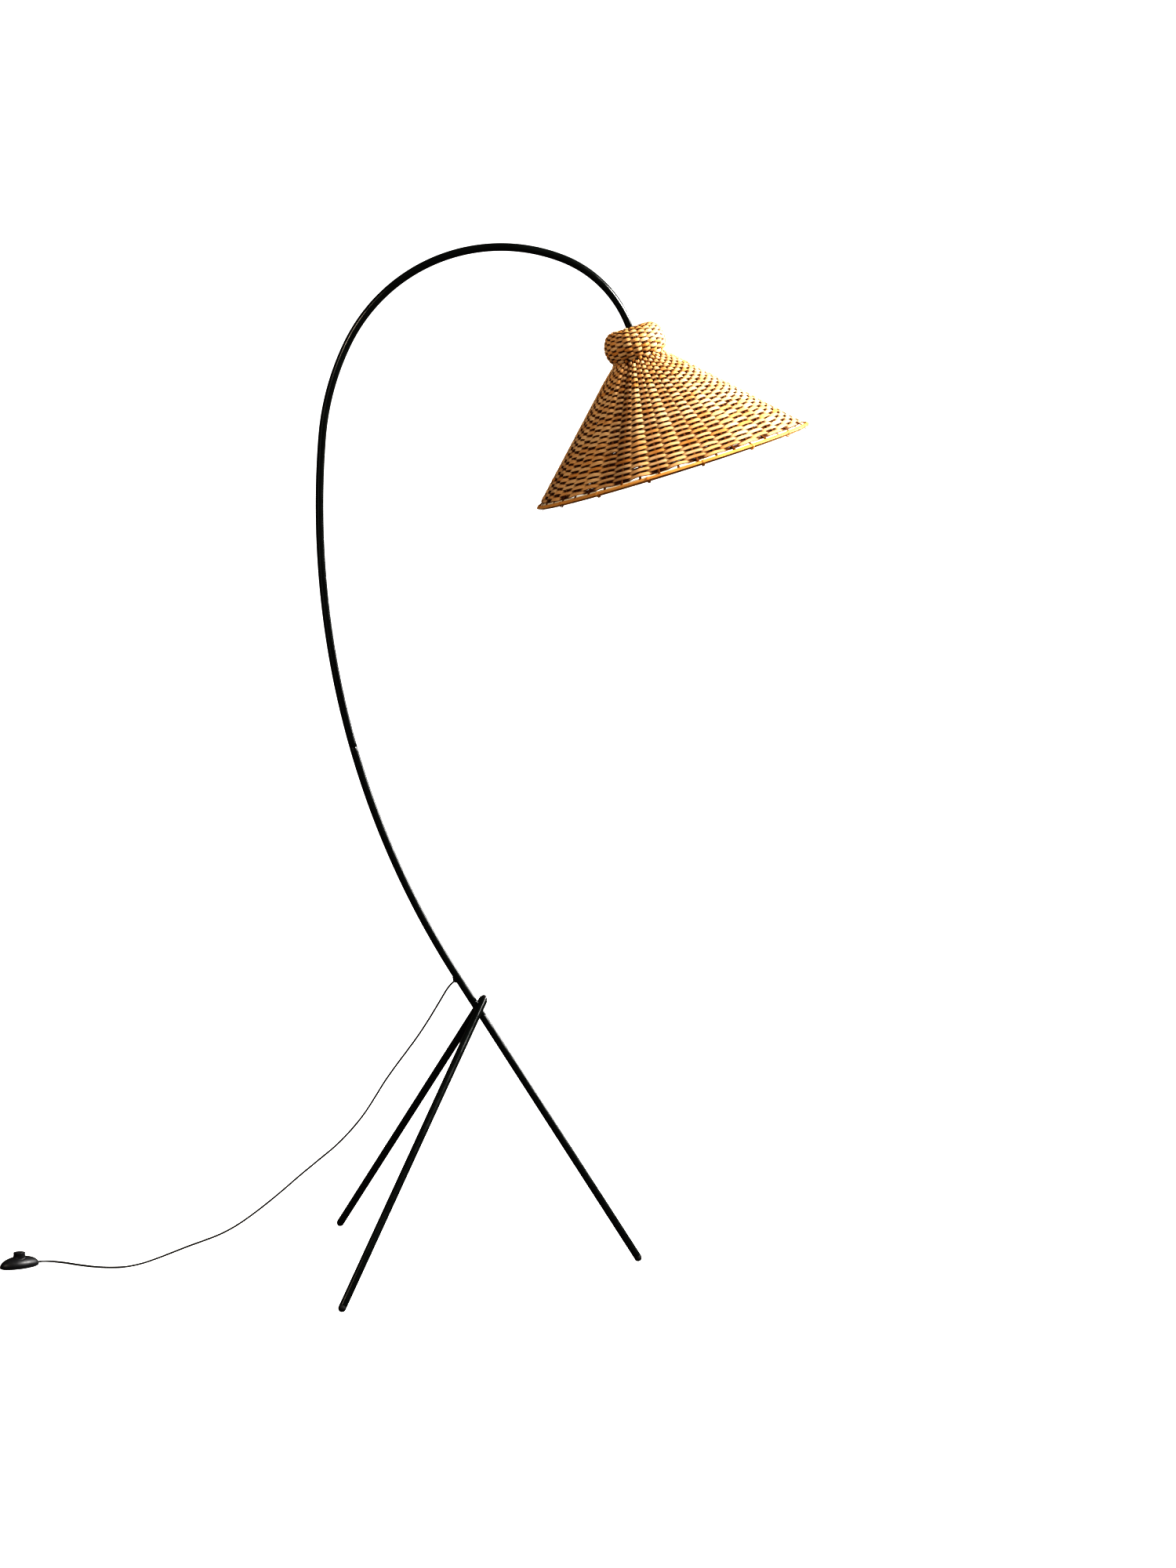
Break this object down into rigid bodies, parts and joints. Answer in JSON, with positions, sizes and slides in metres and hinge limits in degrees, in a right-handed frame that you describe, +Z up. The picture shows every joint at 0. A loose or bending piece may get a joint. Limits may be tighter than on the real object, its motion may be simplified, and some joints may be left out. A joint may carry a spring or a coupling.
{
  "type": "floor lamp",
  "caption": "Arc floor lamp: black bent tube on a tripod of crossing tube legs, tilted woven cane cone shade, flat cord with foot switch and plug.",
  "frame": {"origin": "on the floor, under the middle of the lamp's box without its cord", "axes": "+Z up, +X toward the side that the shade overhangs, +Y away from the picture's viewer"},
  "size_m": [1.4075, 0.583, 1.6559],
  "materials": {
    "black_metal": "semi-gloss black powder coat",
    "black_plastic": "satin black moulded plastic",
    "black_rubber": "soft black",
    "cord_sheath": "smooth black sheath",
    "bright_steel": "zinc plated",
    "brass": "plain",
    "cane": "clear varnished honey and straw cane",
    "cane_hoop": "clear varnished straw cane",
    "porcelain": "glazed white",
    "opal_glass": "opal white"
  },
  "bodies": {
    "lamp": {"arc_joint_set_screw": "bright_steel", "arc_joint_spigot": "bright_steel", "arc_set_screw": "bright_steel", "bulb_cap": "bright_steel", "bulb_glass": "opal_glass", "button_spring": "bright_steel", "cord_coil": "cord_sheath", "cord_coil_to_plug": "cord_sheath", "cord_grommet": "black_rubber", "cord_lamp_to_switch": "cord_sheath", "cord_switch_to_coil": "cord_sheath", "front_foot_cap": "black_rubber", "front_leg_screw": "black_metal", "front_leg_top_plug": "black_plastic", "front_leg_tube": "black_metal", "holder_lock_nut": "brass", "holder_nipple": "bright_steel", "hub_block": "black_metal", "inner_lead": "cord_sheath", "lampholder_body": "black_plastic", "lampholder_cap": "black_plastic", "lampholder_contact": "brass", "lampholder_insert": "porcelain", "lampholder_ring": "black_plastic", "lampholder_screw_shell": "brass", "lower_arc_tube": "black_metal", "plug_body": "black_plastic", "plug_pin_left": "bright_steel", "plug_pin_right": "bright_steel", "plug_strain_relief": "cord_sheath", "rear_foot_cap": "black_rubber", "rear_leg_screw": "black_metal", "rear_leg_top_plug": "black_plastic", "rear_leg_tube": "black_metal", "right_foot_cap": "black_rubber", "right_leg_set_screw": "bright_steel", "right_leg_tube": "black_metal", "rim_hoop_inner": "cane_hoop", "rim_hoop_outer": "cane_hoop", "shade_carrier": "bright_steel", "shade_weave": "cane", "switch_bottom_shell": "black_plastic", "switch_module": "porcelain", "switch_screw_1": "bright_steel", "switch_screw_2": "bright_steel", "switch_terminal_in": "brass", "switch_terminal_out": "brass", "switch_top_shell": "black_plastic", "upper_arc_tube": "black_metal"},
    "button": {"switch_button": "black_plastic"}
  },
  "joints": [
    {"name": "button_press", "type": "slide", "parent": "lamp", "child": "button", "axis": [0, 0, -1], "range_m": [0, 0.003], "stiffness_N_per_m": 500, "springref_m": -0.002, "deforming": ["button_spring"]}
  ]
}
